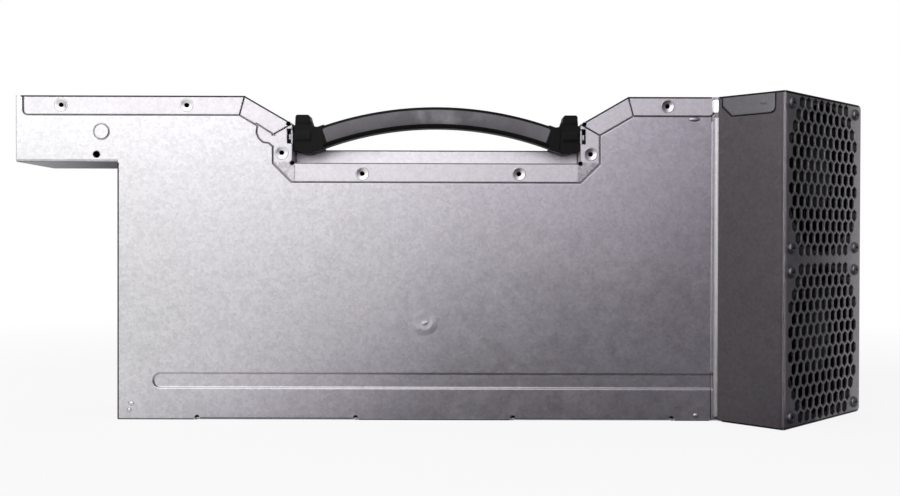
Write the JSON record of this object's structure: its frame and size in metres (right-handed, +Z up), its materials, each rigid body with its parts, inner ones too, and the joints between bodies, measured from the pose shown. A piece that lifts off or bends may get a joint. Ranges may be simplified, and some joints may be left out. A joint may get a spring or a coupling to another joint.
{
  "type": "workstation power supply",
  "caption": "Flat sheet-steel power supply with a stepped arm, a folding carry handle in its top edge and an angled honeycomb fan end.",
  "frame": {"origin": "on the base plane, under the middle of the overall box", "axes": "+X along the body towards the fan end, +Y from the front face to the back panel, +Z up to the handle edge"},
  "size_m": [0.4458, 0.0786, 0.166],
  "materials": {
    "galvanised_steel": "spangled galvanised sheet",
    "bright_steel": "zinc-plated",
    "handle_black": "fine grain",
    "handle_grey": "satin",
    "fan_black": "moulded",
    "inlet_black": "moulded",
    "contact_metal": "plated",
    "board_green": "solder mask",
    "film_clear": "film",
    "ferrite": "sintered",
    "copper": "enamelled wire",
    "sleeve": "shrink sleeve",
    "film_yellow": "moulded",
    "aluminium": "extruded",
    "epoxy": "moulded",
    "lead_skin": "insulation",
    "magnet": "bonded"
  },
  "bodies": {
    "case": {"front_cover": "galvanised_steel", "flare_panel": "galvanised_steel", "top_channel": "galvanised_steel", "rear_tray": "galvanised_steel", "inlet_panel": "galvanised_steel", "fan_grille": "galvanised_steel", "flange_rivets": "bright_steel", "fan_screws": "bright_steel", "inlet_housing": "inlet_black", "inlet_pins": "contact_metal", "inlet_leads": "lead_skin", "main_board": "board_green", "board_standoffs": "bright_steel", "board_screws": "bright_steel", "insulator_sheet": "film_clear", "filter_choke_core": "ferrite", "filter_choke_windings": "copper", "filter_capacitors": "film_yellow", "bridge_rectifier": "epoxy", "boost_choke_core": "ferrite", "boost_choke_winding": "copper", "bulk_capacitors": "sleeve", "primary_heatsink": "aluminium", "primary_transistors": "epoxy", "transformer_core": "ferrite", "transformer_winding": "film_yellow", "secondary_heatsink": "aluminium", "secondary_rectifiers": "epoxy", "output_choke_core": "ferrite", "output_choke_winding": "copper", "output_capacitors": "sleeve", "control_board": "board_green", "output_connector": "inlet_black", "output_blades": "contact_metal", "upper_fan_frame": "fan_black", "upper_fan_stator": "copper", "upper_fan_bearing": "contact_metal", "lower_fan_frame": "fan_black", "lower_fan_stator": "copper", "lower_fan_bearing": "contact_metal"},
    "handle": {"handle_strap": "handle_black", "handle_end_left": "handle_black", "handle_end_right": "handle_black", "handle_pin_left": "bright_steel", "handle_pin_right": "bright_steel"},
    "upper_rotor": {"upper_fan_rotor": "fan_black", "upper_fan_shaft": "bright_steel", "upper_fan_magnet": "magnet"},
    "lower_rotor": {"lower_fan_rotor": "fan_black", "lower_fan_shaft": "bright_steel", "lower_fan_magnet": "magnet"}
  },
  "joints": [
    {"name": "handle_fold", "type": "hinge", "parent": "case", "child": "handle", "pos_m": [-0.00757, -0.00574, 0.1455], "axis": [-1, 0, 0], "range_deg": [0, 90]},
    {"name": "upper_fan_spin", "type": "hinge", "parent": "case", "child": "upper_rotor", "pos_m": [0.18321, 0.00045, 0.1247], "axis": [0.7071, -0.7071, 0], "continuous": true},
    {"name": "lower_fan_spin", "type": "hinge", "parent": "case", "child": "lower_rotor", "pos_m": [0.18321, 0.00045, 0.0413], "axis": [0.7071, -0.7071, 0], "continuous": true}
  ]
}
